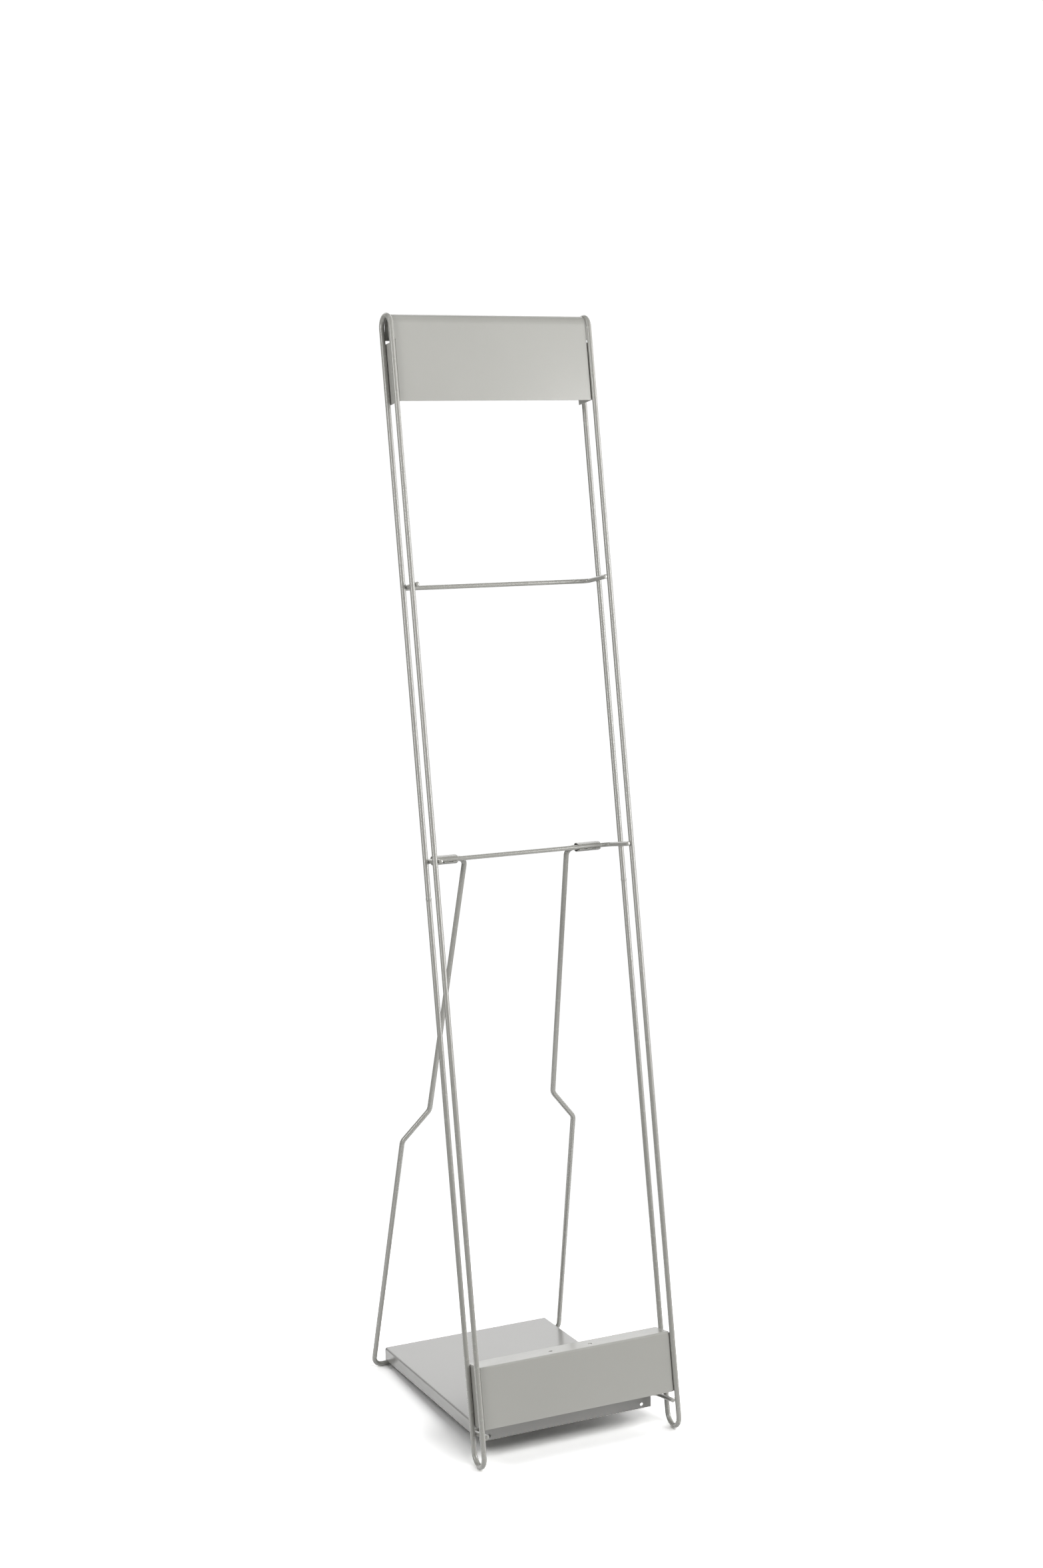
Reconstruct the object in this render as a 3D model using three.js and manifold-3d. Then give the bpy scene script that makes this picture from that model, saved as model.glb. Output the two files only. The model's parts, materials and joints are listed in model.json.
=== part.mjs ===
// Folding newspaper rack: two long closed side loops, three wide-U crossbars, a
// header panel with a rolled top, a bent lower panel, a swinging wire leg and a
// hinged paper tray.
// Millimetres, +Z up, +X to the rack's left-to-right as seen from its front,
// -Y is the front. Origin: on the floor, mid width, middle of the footprint depth.
import * as THREE from 'three';
import { mergeVertices } from 'three/addons/utils/BufferGeometryUtils.js';
import Module from 'manifold-3d';

const wasm = await Module();
wasm.setup();

// ---------------------------------------------------------------- shared sizes
const GAP = 0.3;                 // clearance between neighbouring pieces
const SHEET = 1.2;               // panels, tray and straps
const LEAN = THREE.MathUtils.degToRad(11.4); // frame leans back from vertical
const SIDES = { left: -1, right: 1 };

const ROD_FACETS = 16;           // facets round a rod
const ROD_BEND_STEPS = 6;        // stations along a right-angle bend
const SHEET_BEND_STEPS = 5;
const DRILL = { length: 8, facets: 24 };

// ---------------------------------------------------------------- finishes
const WIRE_FINISH = { color: 0xbcbdb6, roughness: 0.42 }; // also clips and straps
const PANEL_FINISH = { color: 0xbec0b9, roughness: 0.45 };
const TRAY_FINISH = { color: 0xc2c3bd, roughness: 0.4 };

function piece(name, geometry, finish = WIRE_FINISH) {
  const material = new THREE.MeshStandardMaterial({ ...finish, metalness: 0 });
  const mesh = new THREE.Mesh(geometry, material);
  mesh.name = name;
  return mesh;
}

// ---------------------------------------------------------------- bent routes
const point = (x, y) => new THREE.Vector2(x, y);

// A planar polyline with rounded corners, as stations with unit tangents.
// One radius per inner corner; bendSteps is the count for a right angle.
function route(corners, radii, bendSteps) {
  const direction = (from, to) => to.clone().sub(from).normalize();
  const pivot = point(0, 0);
  const stations = [{ position: corners[0].clone(), tangent: direction(corners[0], corners[1]) }];
  for (let i = 1; i < corners.length - 1; i++) {
    const incoming = direction(corners[i - 1], corners[i]);
    const outgoing = direction(corners[i], corners[i + 1]);
    const cross = incoming.x * outgoing.y - incoming.y * outgoing.x;
    const turn = Math.atan2(cross, incoming.dot(outgoing));
    const radius = radii[i - 1];
    const setback = radius * Math.tan(Math.abs(turn) / 2);
    const start = corners[i].clone().addScaledVector(incoming, -setback);
    const toCentre = point(-incoming.y, incoming.x).multiplyScalar(radius * Math.sign(turn));
    const centre = start.clone().add(toCentre);
    const steps = Math.max(2, Math.round((bendSteps * Math.abs(turn)) / (Math.PI / 2)));
    for (let k = 0; k <= steps; k++) {
      const angle = (turn * k) / steps;
      const arm = start.clone().sub(centre).rotateAround(pivot, angle);
      stations.push({
        position: centre.clone().add(arm),
        tangent: incoming.clone().rotateAround(pivot, angle),
      });
    }
  }
  stations.push({
    position: corners.at(-1).clone(),
    tangent: direction(corners.at(-2), corners.at(-1)),
  });
  return stations;
}

// ---------------------------------------------------------------- rods
// A curve that hands its own stations to the extrusion, so that straight runs
// stay one facet long and bends get as many as they need.
class RodPath extends THREE.Curve {
  constructor(stations, { lift, normal }) {
    super();
    this.points = stations.map((station) => lift(station.position));
    this.tangents = stations.map((station) => lift(station.tangent));
    this.planeNormal = normal;
  }

  getSpacedPoints() {
    return this.points;
  }

  computeFrenetFrames() {
    const normals = this.tangents.map(() => this.planeNormal.clone());
    const binormals = this.tangents.map((tangent) =>
      new THREE.Vector3().crossVectors(tangent, this.planeNormal));
    return { tangents: this.tangents, normals, binormals };
  }
}

// How a drawn point is lifted into space, and the normal of its plane.
const PLANES = {
  xy: { lift: (v) => new THREE.Vector3(v.x, v.y, 0), normal: new THREE.Vector3(0, 0, 1) },
  xz: { lift: (v) => new THREE.Vector3(v.x, 0, v.y), normal: new THREE.Vector3(0, 1, 0) },
  yz: { lift: (v) => new THREE.Vector3(0, v.x, v.y), normal: new THREE.Vector3(1, 0, 0) },
};

function rod(corners, radii, diameter, plane, bendSteps = ROD_BEND_STEPS) {
  const stations = route(corners, radii, bendSteps);
  const ring = [];
  for (let i = 0; i < ROD_FACETS; i++) {
    const angle = (2 * Math.PI * i) / ROD_FACETS;
    ring.push(point((diameter / 2) * Math.cos(angle), (diameter / 2) * Math.sin(angle)));
  }
  return new THREE.ExtrudeGeometry(new THREE.Shape(ring), {
    steps: stations.length - 1,
    extrudePath: new RodPath(stations, PLANES[plane]),
  });
}

// ---------------------------------------------------------------- sheets
// Outline of a bent sheet of constant thickness along a mid-plane route.
function sheetShape(corners, radii, thickness = SHEET, bendSteps = SHEET_BEND_STEPS) {
  const stations = route(corners, radii, bendSteps);
  const offset = (distance) => stations.map(({ position, tangent }) =>
    point(position.x - tangent.y * distance, position.y + tangent.x * distance));
  return new THREE.Shape([...offset(thickness / 2), ...offset(-thickness / 2).reverse()]);
}

const extrude = (shape, depth) =>
  new THREE.ExtrudeGeometry(shape, { depth, bevelEnabled: false });

// Shape drawn in x,y and pulled up in z.
const pullUp = (shape, from, to) => extrude(shape, to - from).translate(0, 0, from);

// Shape drawn in x,z and pulled back in y.
const pullBack = (shape, from, to) =>
  extrude(shape, to - from).rotateX(Math.PI / 2).translate(0, to, 0);

// Shape drawn in y,z and pulled across in x.
function pullAcross(shape, from, to) {
  const drawnToSpace = new THREE.Matrix4().set(
    0, 0, 1, 0,
    1, 0, 0, 0,
    0, 1, 0, 0,
    0, 0, 0, 1,
  );
  return extrude(shape, to - from).applyMatrix4(drawnToSpace).translate(from, 0, 0);
}

// Box centred on x = 0.
function block(halfWidth, y0, y1, z0, z1) {
  return new THREE.BoxGeometry(2 * halfWidth, y1 - y0, z1 - z0)
    .translate(0, (y0 + y1) / 2, (z0 + z1) / 2);
}

// ---------------------------------------------------------------- solids
function solid(geometry) {
  geometry.deleteAttribute('normal');
  geometry.deleteAttribute('uv');
  const merged = mergeVertices(geometry, 1e-4);
  return new wasm.Manifold(
    new wasm.Mesh({
      numProp: 3,
      vertProperties: new Float32Array(merged.attributes.position.array),
      triVerts: new Uint32Array(merged.index.array),
    }),
  );
}

const join = (...geometries) => geometries.map(solid).reduce((sum, part) => sum.add(part));

// Drill along y.
const drill = (diameter) =>
  new THREE.CylinderGeometry(diameter / 2, diameter / 2, DRILL.length, DRILL.facets);

function toGeometry(manifold) {
  const mesh = manifold.getMesh();
  const geometry = new THREE.BufferGeometry();
  geometry.setAttribute('position', new THREE.Float32BufferAttribute(mesh.vertProperties, 3));
  geometry.setIndex([...mesh.triVerts]);
  geometry.computeVertexNormals();
  return geometry;
}

// ---------------------------------------------------------------- side loops
const LOOP_GAUGE = 300;          // side loop centre planes, left to right
const LOOP_WIRE = 7.3;           // coated 7 mm rod
const LOOP_SPACING = 32.4;       // front wire to rear wire, centre to centre
const LOOP_RADIUS = LOOP_SPACING / 2;
const LOOP_STRAIGHT = 1528;      // centre of the foot bend to centre of the top bend
const LOOP_BEND_STEPS = 8;
const WELD = {
  at: 752,                       // up the rear wire
  endGap: 0.3,                   // each wire end stops this far from the middle
  height: 0.28,                  // bead above the wire
  crownHalf: 1.2,
  half: 2.6,                     // half length of the bead
  sink: 0.4,                     // bead ends below the wire surface
  facets: 18,
};

// Drawn in the plane of the loop: y rearwards, z up along the frame.
function loopGeometry() {
  const wire = rod(
    [
      point(LOOP_RADIUS, WELD.at + WELD.endGap),
      point(LOOP_RADIUS, LOOP_STRAIGHT + LOOP_RADIUS),
      point(-LOOP_RADIUS, LOOP_STRAIGHT + LOOP_RADIUS),
      point(-LOOP_RADIUS, -LOOP_RADIUS),
      point(LOOP_RADIUS, -LOOP_RADIUS),
      point(LOOP_RADIUS, WELD.at - WELD.endGap),
    ],
    Array(4).fill(LOOP_RADIUS),
    LOOP_WIRE,
    'yz',
    LOOP_BEND_STEPS,
  );
  const endRadius = LOOP_WIRE / 2 - WELD.sink;
  const crownRadius = LOOP_WIRE / 2 + WELD.height;
  const bead = new THREE.LatheGeometry(
    [
      point(0, -WELD.half),
      point(endRadius, -WELD.half),
      point(crownRadius, -WELD.crownHalf),
      point(crownRadius, WELD.crownHalf),
      point(endRadius, WELD.half),
      point(0, WELD.half),
    ],
    WELD.facets,
  );
  bead.rotateX(Math.PI / 2).translate(0, LOOP_RADIUS, WELD.at);
  return toGeometry(join(wire, bead));
}

// ---------------------------------------------------------------- crossbars
const BAR_WIRE = 6.2;            // coated 6 mm rod
const BAR_X = LOOP_GAUGE / 2 - LOOP_WIRE / 2 - BAR_WIRE / 2 - GAP;
const BAR_BEND = 8;              // centre-line radius
const BAR_BACK = 37.7;           // long run behind the loop centre plane
// at: height up the frame; nose: reach of the ends ahead of the loop centre plane
const BARS = {
  upper: { at: 1177.4, nose: 18.2 },
  middle: { at: 802.8, nose: 20.3 },
  lower: { at: 23.2, nose: 16.2 },
};

// Drawn flat: x across, y rearwards.
function crossbarGeometry(nose) {
  return rod(
    [point(-BAR_X, -nose), point(-BAR_X, BAR_BACK), point(BAR_X, BAR_BACK), point(BAR_X, -nose)],
    [BAR_BEND, BAR_BEND],
    BAR_WIRE,
    'xy',
  );
}

// ---------------------------------------------------------------- panels
const PANEL_HALF = 144.5;        // half width over the flanges
const PANEL_FACE = 15.2;         // front face ahead of the loop centre plane
const PANEL_BACK = 23.4;         // flanges run this far behind it
const PANEL_BEND = 2;            // mid-plane bend radius
const PANEL_MID_Y = PANEL_FACE - SHEET / 2;
const PANEL_MID_X = PANEL_HALF - SHEET / 2;

const HEADER = {
  bottom: 1425.4,
  flangeTop: 1508,
  rollAt: 1530.4,                // centre of the rolled top
  lipBottom: 1511,               // rear end of the rolled sheet
  overlap: 0.6,                  // rolled sheet into the channel below
  rollSteps: 8,
};

const LOWER = {
  bottom: 35,
  top: 118.9,
  flangeTrim: 1,                 // side flanges stop short of the ledge's rear edge
  channelDrop: 0.4,              // channel top below the underside of the ledge
  lipDrop: 2.6,                  // front end of the ledge sheet below that underside
  ledgeInset: 0.9,               // ledge ends in from the flange faces
  hole: 6,
  holeX: 30.5,
  holeY: 2,
};

// Front face with two side flanges running back.
function channel(back, bottom, top) {
  const shape = sheetShape(
    [
      point(-PANEL_MID_X, back),
      point(-PANEL_MID_X, -PANEL_MID_Y),
      point(PANEL_MID_X, -PANEL_MID_Y),
      point(PANEL_MID_X, back),
    ],
    [PANEL_BEND, PANEL_BEND],
  );
  return pullUp(shape, bottom, top);
}

function headerGeometry() {
  const rollTop = HEADER.rollAt + PANEL_MID_Y;
  const roll = sheetShape(
    [
      point(-PANEL_MID_Y, HEADER.flangeTop - HEADER.overlap),
      point(-PANEL_MID_Y, rollTop),
      point(PANEL_MID_Y, rollTop),
      point(PANEL_MID_Y, HEADER.lipBottom),
    ],
    [PANEL_MID_Y, PANEL_MID_Y],
    SHEET,
    HEADER.rollSteps,
  );
  return toGeometry(join(
    channel(PANEL_BACK, HEADER.bottom, HEADER.flangeTop),
    pullAcross(roll, -PANEL_HALF, PANEL_HALF),
  ));
}

function lowerPanelGeometry() {
  const underside = LOWER.top - SHEET;
  const ledgeMid = LOWER.top - SHEET / 2;
  const ledgeHalf = PANEL_HALF - LOWER.ledgeInset;
  const ledge = sheetShape(
    [
      point(-PANEL_MID_Y, underside - LOWER.lipDrop),
      point(-PANEL_MID_Y, ledgeMid),
      point(PANEL_BACK, ledgeMid),
    ],
    [PANEL_BEND],
  );
  let body = join(
    channel(PANEL_BACK - LOWER.flangeTrim, LOWER.bottom, underside - LOWER.channelDrop),
    pullAcross(ledge, -ledgeHalf, ledgeHalf),
  );
  for (const side of [-1, 1]) {
    const hole = drill(LOWER.hole)
      .rotateX(Math.PI / 2)
      .translate(side * LOWER.holeX, LOWER.holeY, LOWER.top);
    body = body.subtract(solid(hole));
  }
  return toGeometry(body);
}

// ---------------------------------------------------------------- leg and clips
const LEG_WIRE = 7.2;
const LEG_PIN_BACK = 7;          // pin axis behind the middle bar's axis
const LEG_PIN_END = 128.4;       // half length over the two pins
const LEG_TOP_X = 78.65;
const LEG_KINKS = [
  { x: 98.8, down: 390.5 },
  { x: 137.4, down: 436.1 },
];
const LEG_FOOT_X = 154.8;
const LEG_FOOT_Y = 366.3;        // floor bar behind the centre of the side loops' foot bend
const LEG_BEND = 10;
const LEG_KINK_BEND = 14;

const CLIP_SHEET = 1.6;
const CLIP_SLACK = 0.05;         // added to the clearance round the pin
const CLIP_REACH = 0.9;          // arms end this far ahead of the middle bar's axis
const CLIP_SPAN = [91.2, 129.9]; // inner and outer end in x

// Drawn in its own plane from the pin axis: x across, z up along the leg.
function legGeometry(length) {
  const run = (side) => [
    point(side * LEG_PIN_END, 0),
    point(side * LEG_TOP_X, 0),
    ...LEG_KINKS.map(({ x, down }) => point(side * x, -down)),
    point(side * LEG_FOOT_X, -length),
  ];
  const bends = [LEG_BEND, LEG_KINK_BEND, LEG_KINK_BEND, LEG_BEND];
  return rod([...run(-1), ...run(1).reverse()], [...bends, ...bends], LEG_WIRE, 'xz');
}

// Inner and outer ends of a span, as ascending x on the given side.
const spanOn = (side, [inner, outer]) => (side < 0 ? [-outer, -inner] : [inner, outer]);

// Clip round the rear of one pin, open to the front; drawn in y,z from the pin axis.
function clipGeometry(side) {
  const radius = LEG_WIRE / 2 + GAP + CLIP_SLACK + CLIP_SHEET / 2;
  const front = -LEG_PIN_BACK - CLIP_REACH;
  const shape = sheetShape(
    [point(front, radius), point(radius, radius), point(radius, -radius), point(front, -radius)],
    [radius, radius],
    CLIP_SHEET,
  );
  return pullAcross(shape, ...spanOn(side, CLIP_SPAN));
}

// ---------------------------------------------------------------- tray and straps
const TRAY_SLOPE = THREE.MathUtils.degToRad(2.45); // falls to the rear when open
const TRAY_HALF = 133.5;
const TRAY_BEND = 2.2;
const TRAY_CORNER = TRAY_BEND + SHEET / 2; // outside radius of the bends
const TRAY_FRONT = 6.1;          // front face ahead of the lower bar's axis
const TRAY_REAR = 331;           // rear face behind it
const TRAY_TOP = BAR_WIRE / 2 + GAP + SHEET;
const TRAY_DEPTH = { side: 18.2, front: 20.6, rear: 20 }; // flanges, from the top face
const TRAY_RELIEF = 14;          // side flanges start this far behind the front face
const TRAY_EAR = { inset: 0.8, overlap: 0.4 }; // top sheet in the front corners
const TRAY_HOLE = { diameter: 5, x: 118.5, up: 5.7 }; // up from the front flange's edge

const STRAP = {
  span: [84, 108],               // inner and outer end in x
  lipBack: 15,                   // rear end of the lip behind the bar's axis
  frontDrop: 1.4,                // front end below the top of the lip
  crease: 0.62,                  // mid-plane radius where the lip turns back
};

// Drawn from the lower bar's axis: y rearwards along the tray, z square to its top.
function trayGeometry() {
  const topMid = TRAY_TOP - SHEET / 2;
  const frontMid = -TRAY_FRONT + SHEET / 2;
  const rearMid = TRAY_REAR - SHEET / 2;
  const sideMid = TRAY_HALF - SHEET / 2;
  const frontBottom = TRAY_TOP - TRAY_DEPTH.front;
  const rearBottom = TRAY_TOP - TRAY_DEPTH.rear;
  const sideBottom = TRAY_TOP - TRAY_DEPTH.side;
  const bends = [TRAY_BEND, TRAY_BEND];

  const frontToRear = pullAcross(
    sheetShape(
      [
        point(frontMid, frontBottom),
        point(frontMid, topMid),
        point(rearMid, topMid),
        point(rearMid, rearBottom),
      ],
      bends,
    ),
    -TRAY_HALF + TRAY_CORNER,
    TRAY_HALF - TRAY_CORNER,
  );
  const sideToSide = pullBack(
    sheetShape(
      [
        point(-sideMid, sideBottom),
        point(-sideMid, topMid),
        point(sideMid, topMid),
        point(sideMid, sideBottom),
      ],
      bends,
    ),
    -TRAY_FRONT + TRAY_RELIEF,
    TRAY_REAR - SHEET - GAP,
  );
  // Full-width flanges below the bends.
  const flangeTop = TRAY_TOP - TRAY_CORNER;
  const frontFlange = block(TRAY_HALF, -TRAY_FRONT, -TRAY_FRONT + SHEET, frontBottom, flangeTop);
  const rearFlange = block(TRAY_HALF, TRAY_REAR - SHEET, TRAY_REAR, rearBottom, flangeTop);
  const ears = block(
    TRAY_HALF - TRAY_EAR.inset,
    -TRAY_FRONT + TRAY_CORNER,
    -TRAY_FRONT + TRAY_RELIEF + TRAY_EAR.overlap,
    TRAY_TOP - SHEET,
    TRAY_TOP,
  );

  let body = join(frontToRear, sideToSide, frontFlange, rearFlange, ears);
  for (const side of [-1, 1]) {
    const hole = drill(TRAY_HOLE.diameter)
      .translate(side * TRAY_HOLE.x, -TRAY_FRONT, frontBottom + TRAY_HOLE.up);
    body = body.subtract(solid(hole));
  }
  return toGeometry(body);
}

// Strap under the tray top that passes round the lower bar.
function strapGeometry(side) {
  const radius = BAR_WIRE / 2 + GAP + SHEET / 2;
  const lipTop = TRAY_TOP - SHEET - GAP;
  const lipMid = lipTop - SHEET / 2;
  const shape = sheetShape(
    [
      point(-radius, lipTop - STRAP.frontDrop),
      point(-radius, -radius),
      point(radius, -radius),
      point(radius, lipMid),
      point(STRAP.lipBack, lipMid),
    ],
    [radius, radius, STRAP.crease],
  );
  return pullAcross(shape, ...spanOn(side, STRAP.span));
}

// ---------------------------------------------------------------- assembly
const FOOT_HEIGHT = LOOP_RADIUS + LOOP_WIRE / 2; // centre of the foot bend above the floor

// A place on the leaning frame, in the rack's y,z.
const onFrame = (back, up) => ({
  y: up * Math.sin(LEAN) + back * Math.cos(LEAN),
  z: FOOT_HEIGHT + up * Math.cos(LEAN) - back * Math.sin(LEAN),
});

const lowerAxis = onFrame(BAR_BACK, BARS.lower.at);
const pinAxis = onFrame(BAR_BACK + LEG_PIN_BACK, BARS.middle.at);
const footprintFront = -FOOT_HEIGHT;
const footprintRear = lowerAxis.y
  + TRAY_REAR * Math.cos(TRAY_SLOPE)
  + (TRAY_TOP - TRAY_BEND) * Math.sin(TRAY_SLOPE);

const rack = new THREE.Group();
rack.position.set(0, -(footprintFront + footprintRear) / 2, 0);

const frame = new THREE.Group();
frame.position.set(0, 0, FOOT_HEIGHT);
frame.rotation.x = -LEAN;
rack.add(frame);

for (const [name, side] of Object.entries(SIDES)) {
  const loop = piece(`side_loop_${name}`, loopGeometry());
  loop.position.x = (side * LOOP_GAUGE) / 2;
  frame.add(loop);
}
for (const [name, { at, nose }] of Object.entries(BARS)) {
  const bar = piece(`crossbar_${name}`, crossbarGeometry(nose));
  bar.position.z = at;
  frame.add(bar);
}
frame.add(piece('header_panel', headerGeometry(), PANEL_FINISH));
frame.add(piece('lower_panel', lowerPanelGeometry(), PANEL_FINISH));
for (const [name, side] of Object.entries(SIDES)) {
  const clip = piece(`hinge_clip_${name}`, clipGeometry(side));
  clip.position.set(0, BAR_BACK + LEG_PIN_BACK, BARS.middle.at);
  frame.add(clip);
}

// The leg swings back from its pins until its floor bar rests on the floor.
const legRun = { y: LEG_FOOT_Y - pinAxis.y, z: pinAxis.z - LEG_WIRE / 2 };
const leg = piece('rear_leg', legGeometry(Math.hypot(legRun.y, legRun.z)));
leg.position.set(0, pinAxis.y, pinAxis.z);
leg.rotation.x = Math.atan2(legRun.y, legRun.z);
rack.add(leg);

const trayGroup = new THREE.Group();
trayGroup.position.set(0, lowerAxis.y, lowerAxis.z);
trayGroup.rotation.x = -TRAY_SLOPE;
rack.add(trayGroup);
trayGroup.add(piece('paper_tray', trayGeometry(), TRAY_FINISH));
for (const [name, side] of Object.entries(SIDES)) {
  trayGroup.add(piece(`tray_strap_${name}`, strapGeometry(side)));
}

export default rack;
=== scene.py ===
import json
import math

import bmesh
import bpy
import numpy as np
from mathutils import Matrix, Vector

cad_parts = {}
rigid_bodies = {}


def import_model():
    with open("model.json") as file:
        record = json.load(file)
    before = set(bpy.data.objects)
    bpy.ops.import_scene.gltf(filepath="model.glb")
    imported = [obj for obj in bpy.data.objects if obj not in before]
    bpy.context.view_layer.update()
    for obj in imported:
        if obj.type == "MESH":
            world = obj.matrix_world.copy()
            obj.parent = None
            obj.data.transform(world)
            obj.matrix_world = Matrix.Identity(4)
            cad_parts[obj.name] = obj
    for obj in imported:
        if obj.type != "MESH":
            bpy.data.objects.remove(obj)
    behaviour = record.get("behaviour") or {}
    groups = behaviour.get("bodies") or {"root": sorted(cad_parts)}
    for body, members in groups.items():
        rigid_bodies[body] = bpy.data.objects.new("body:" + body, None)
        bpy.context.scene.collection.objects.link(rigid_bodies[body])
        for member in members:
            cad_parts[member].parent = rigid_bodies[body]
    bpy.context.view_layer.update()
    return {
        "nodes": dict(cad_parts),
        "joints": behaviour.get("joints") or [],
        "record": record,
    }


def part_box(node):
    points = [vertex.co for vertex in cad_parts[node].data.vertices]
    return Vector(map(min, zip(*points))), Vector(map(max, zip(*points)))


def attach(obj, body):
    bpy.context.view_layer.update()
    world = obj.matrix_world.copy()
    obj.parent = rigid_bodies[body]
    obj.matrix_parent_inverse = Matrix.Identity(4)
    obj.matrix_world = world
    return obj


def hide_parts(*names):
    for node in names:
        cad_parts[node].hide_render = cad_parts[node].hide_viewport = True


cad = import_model()
JOINTS = {joint["name"]: Vector(joint["pos_m"]) for joint in cad["joints"]}
MM = 0.001
scene = bpy.context.scene

# ------------------------------------------------------------------ driving dimensions
LEAN = math.radians(11.4)             # side loops from the vertical
SLOPE = math.radians(2.45)            # tray from the level, rear edge lower
GAUGE = 300 * MM                      # between the planes of the side loops
LOOP_R = 3.65 * MM
LOOP_H = 16.2 * MM                    # bend radius: half the gap between front and rear wires
LOOP_L = 1528 * MM                    # between the centres of the end bends
BAR_R = 3.1 * MM
BAR_BACK = 37.7 * MM                  # the crossbars' rear run, behind the loops' middle
LEG_R = 3.6 * MM
SHEET = 1.2 * MM
SADDLE_IN, SADDLE_OUT = 93.0 * MM, 128.4 * MM     # x of a saddle's ends, and of the leg's

# crossbars: height along the frame, reach of the cut ends in front, seed of the weld beads
BARS = {
    "upper": (1177.4 * MM, 18.2 * MM, 11),
    "middle": (802.8 * MM, 20.3 * MM, 23),
    "lower": (23.2 * MM, 16.2 * MM, 37),
}

# ------------------------------------------------------------------ spaces
# Frame space: x across, y rearwards square to the frame, z up along the frame,
# with its origin at the centre of the loops' lower bends.
FOOT = LOOP_H + LOOP_R
FRAME_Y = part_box("side_loop_left")[0].y + FOOT
TO_FRAME = Matrix.Translation((0, FRAME_Y, FOOT)) @ Matrix.Rotation(-LEAN, 4, "X")
# Tray space: origin on the tray's axle, y rearwards along the tray.
TO_TRAY = Matrix.Translation(JOINTS["tray_fold"]) @ Matrix.Rotation(-SLOPE, 4, "X")
# Leg space: origin on the leg's pin, -z down the leg to its floor bar.
PIN = JOINTS["leg_fold"]
FLOOR_BAR_Y = FRAME_Y + 366.3 * MM
LEG_RUN = Vector((0, FLOOR_BAR_Y - PIN.y, PIN.z - LEG_R))
LEG_LEN = LEG_RUN.length
TO_LEG = Matrix.Translation(PIN) @ Matrix.Rotation(math.atan2(LEG_RUN.y, LEG_RUN.z), 4, "X")


# ------------------------------------------------------------------ shader helpers
def node(tree, kind, inputs=None, **settings):
    """Adds a shader node. An input takes a value or another node's output socket."""
    added = tree.nodes.new("ShaderNode" + kind)
    for key, value in settings.items():
        setattr(added, key, value)
    for key, value in (inputs or {}).items():
        if isinstance(value, bpy.types.NodeSocket):
            tree.links.new(value, added.inputs[key])
        else:
            added.inputs[key].default_value = value
    return added


def calc(tree, operation, *values):
    return node(tree, "Math", dict(enumerate(values)), operation=operation).outputs[0]


def ramp(tree, value, source, target=(0.0, 1.0), shape="LINEAR"):
    """Maps the range source onto the range target."""
    inputs = {
        "Value": value,
        "From Min": source[0],
        "From Max": source[1],
        "To Min": target[0],
        "To Max": target[1],
    }
    return node(tree, "MapRange", inputs, interpolation_type=shape).outputs[0]


def empty_tree(owner):
    owner.use_nodes = True
    owner.node_tree.nodes.clear()
    return owner.node_tree


# ------------------------------------------------------------------ coats
def coat(name, color, roughness, grain, peel, specular):
    """Powder coat: speckled, drifting colour, uneven gloss and orange peel.

    grain scales the speckle and the uneven gloss, peel scales the bumps.
    """
    material = bpy.data.materials.new(name)
    tree = empty_tree(material)
    place = node(tree, "TexCoord").outputs["Object"]

    def noise(scale, detail, rough):
        inputs = {"Vector": place, "Scale": scale, "Detail": detail, "Roughness": rough}
        return node(tree, "TexNoise", inputs).outputs["Fac"]

    speckle = noise(scale=900.0, detail=2.0, rough=0.7)      # about 1 mm
    drift = noise(scale=9.0, detail=3.0, rough=0.55)         # slow change of tone
    fine_peel = noise(scale=1100.0, detail=1.5, rough=0.45)
    wave = noise(scale=120.0, detail=2.0, rough=0.5)

    middle = (0.3, 0.7)               # the part of each noise that is used
    speckle_tone = ramp(tree, speckle, middle, (1 - 0.028 * grain, 1 + 0.028 * grain))
    drift_tone = ramp(tree, drift, middle, (0.985, 1.015))
    tone = calc(tree, "MULTIPLY", speckle_tone, drift_tone)
    toned = node(tree, "VectorMath", {0: color, "Scale": tone}, operation="SCALE")
    dullest = roughness + 0.012 + 0.03 * grain
    gloss = ramp(tree, wave, middle, (roughness - 0.01 - 0.025 * grain, dullest))
    fine = node(tree, "Bump", {
        "Strength": 0.2 * peel,
        "Distance": 0.00003,
        "Height": fine_peel,
    })
    broad = node(tree, "Bump", {
        "Strength": 0.10 * peel,
        "Distance": 0.00006,
        "Height": wave,
        "Normal": fine.outputs["Normal"],
    })
    surface = node(tree, "BsdfPrincipled", {
        "Base Color": toned.outputs["Vector"],
        "Roughness": gloss,
        "Normal": broad.outputs["Normal"],
        "Specular IOR Level": specular,
        "Coat Weight": 0.6,
        "Coat Roughness": 0.16,
    })
    node(tree, "OutputMaterial", {0: surface.outputs[0]})
    return material


WIRE = coat(
    "coated_wire", (0.362, 0.358, 0.330), roughness=0.26, grain=0.3, peel=0.03, specular=0.8
)
PANEL = coat(
    "coated_panel", (0.413, 0.410, 0.382), roughness=0.31, grain=0.5, peel=0.12, specular=0.55
)
TRAY = coat(
    "coated_tray", (0.360, 0.356, 0.342), roughness=0.22, grain=0.2, peel=0.03, specular=0.55
)

SLOTS = {"coated_wire": WIRE, "coated_panel": PANEL, "coated_tray": TRAY}
for subpart in cad["record"].get("subparts", []):
    slots = cad["nodes"][subpart["node"]].data.materials
    slots.clear()
    slots.append(SLOTS[subpart["material_slot"]])


# ------------------------------------------------------------------ paths
def unit(vector):
    return vector / np.linalg.norm(vector)


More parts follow.
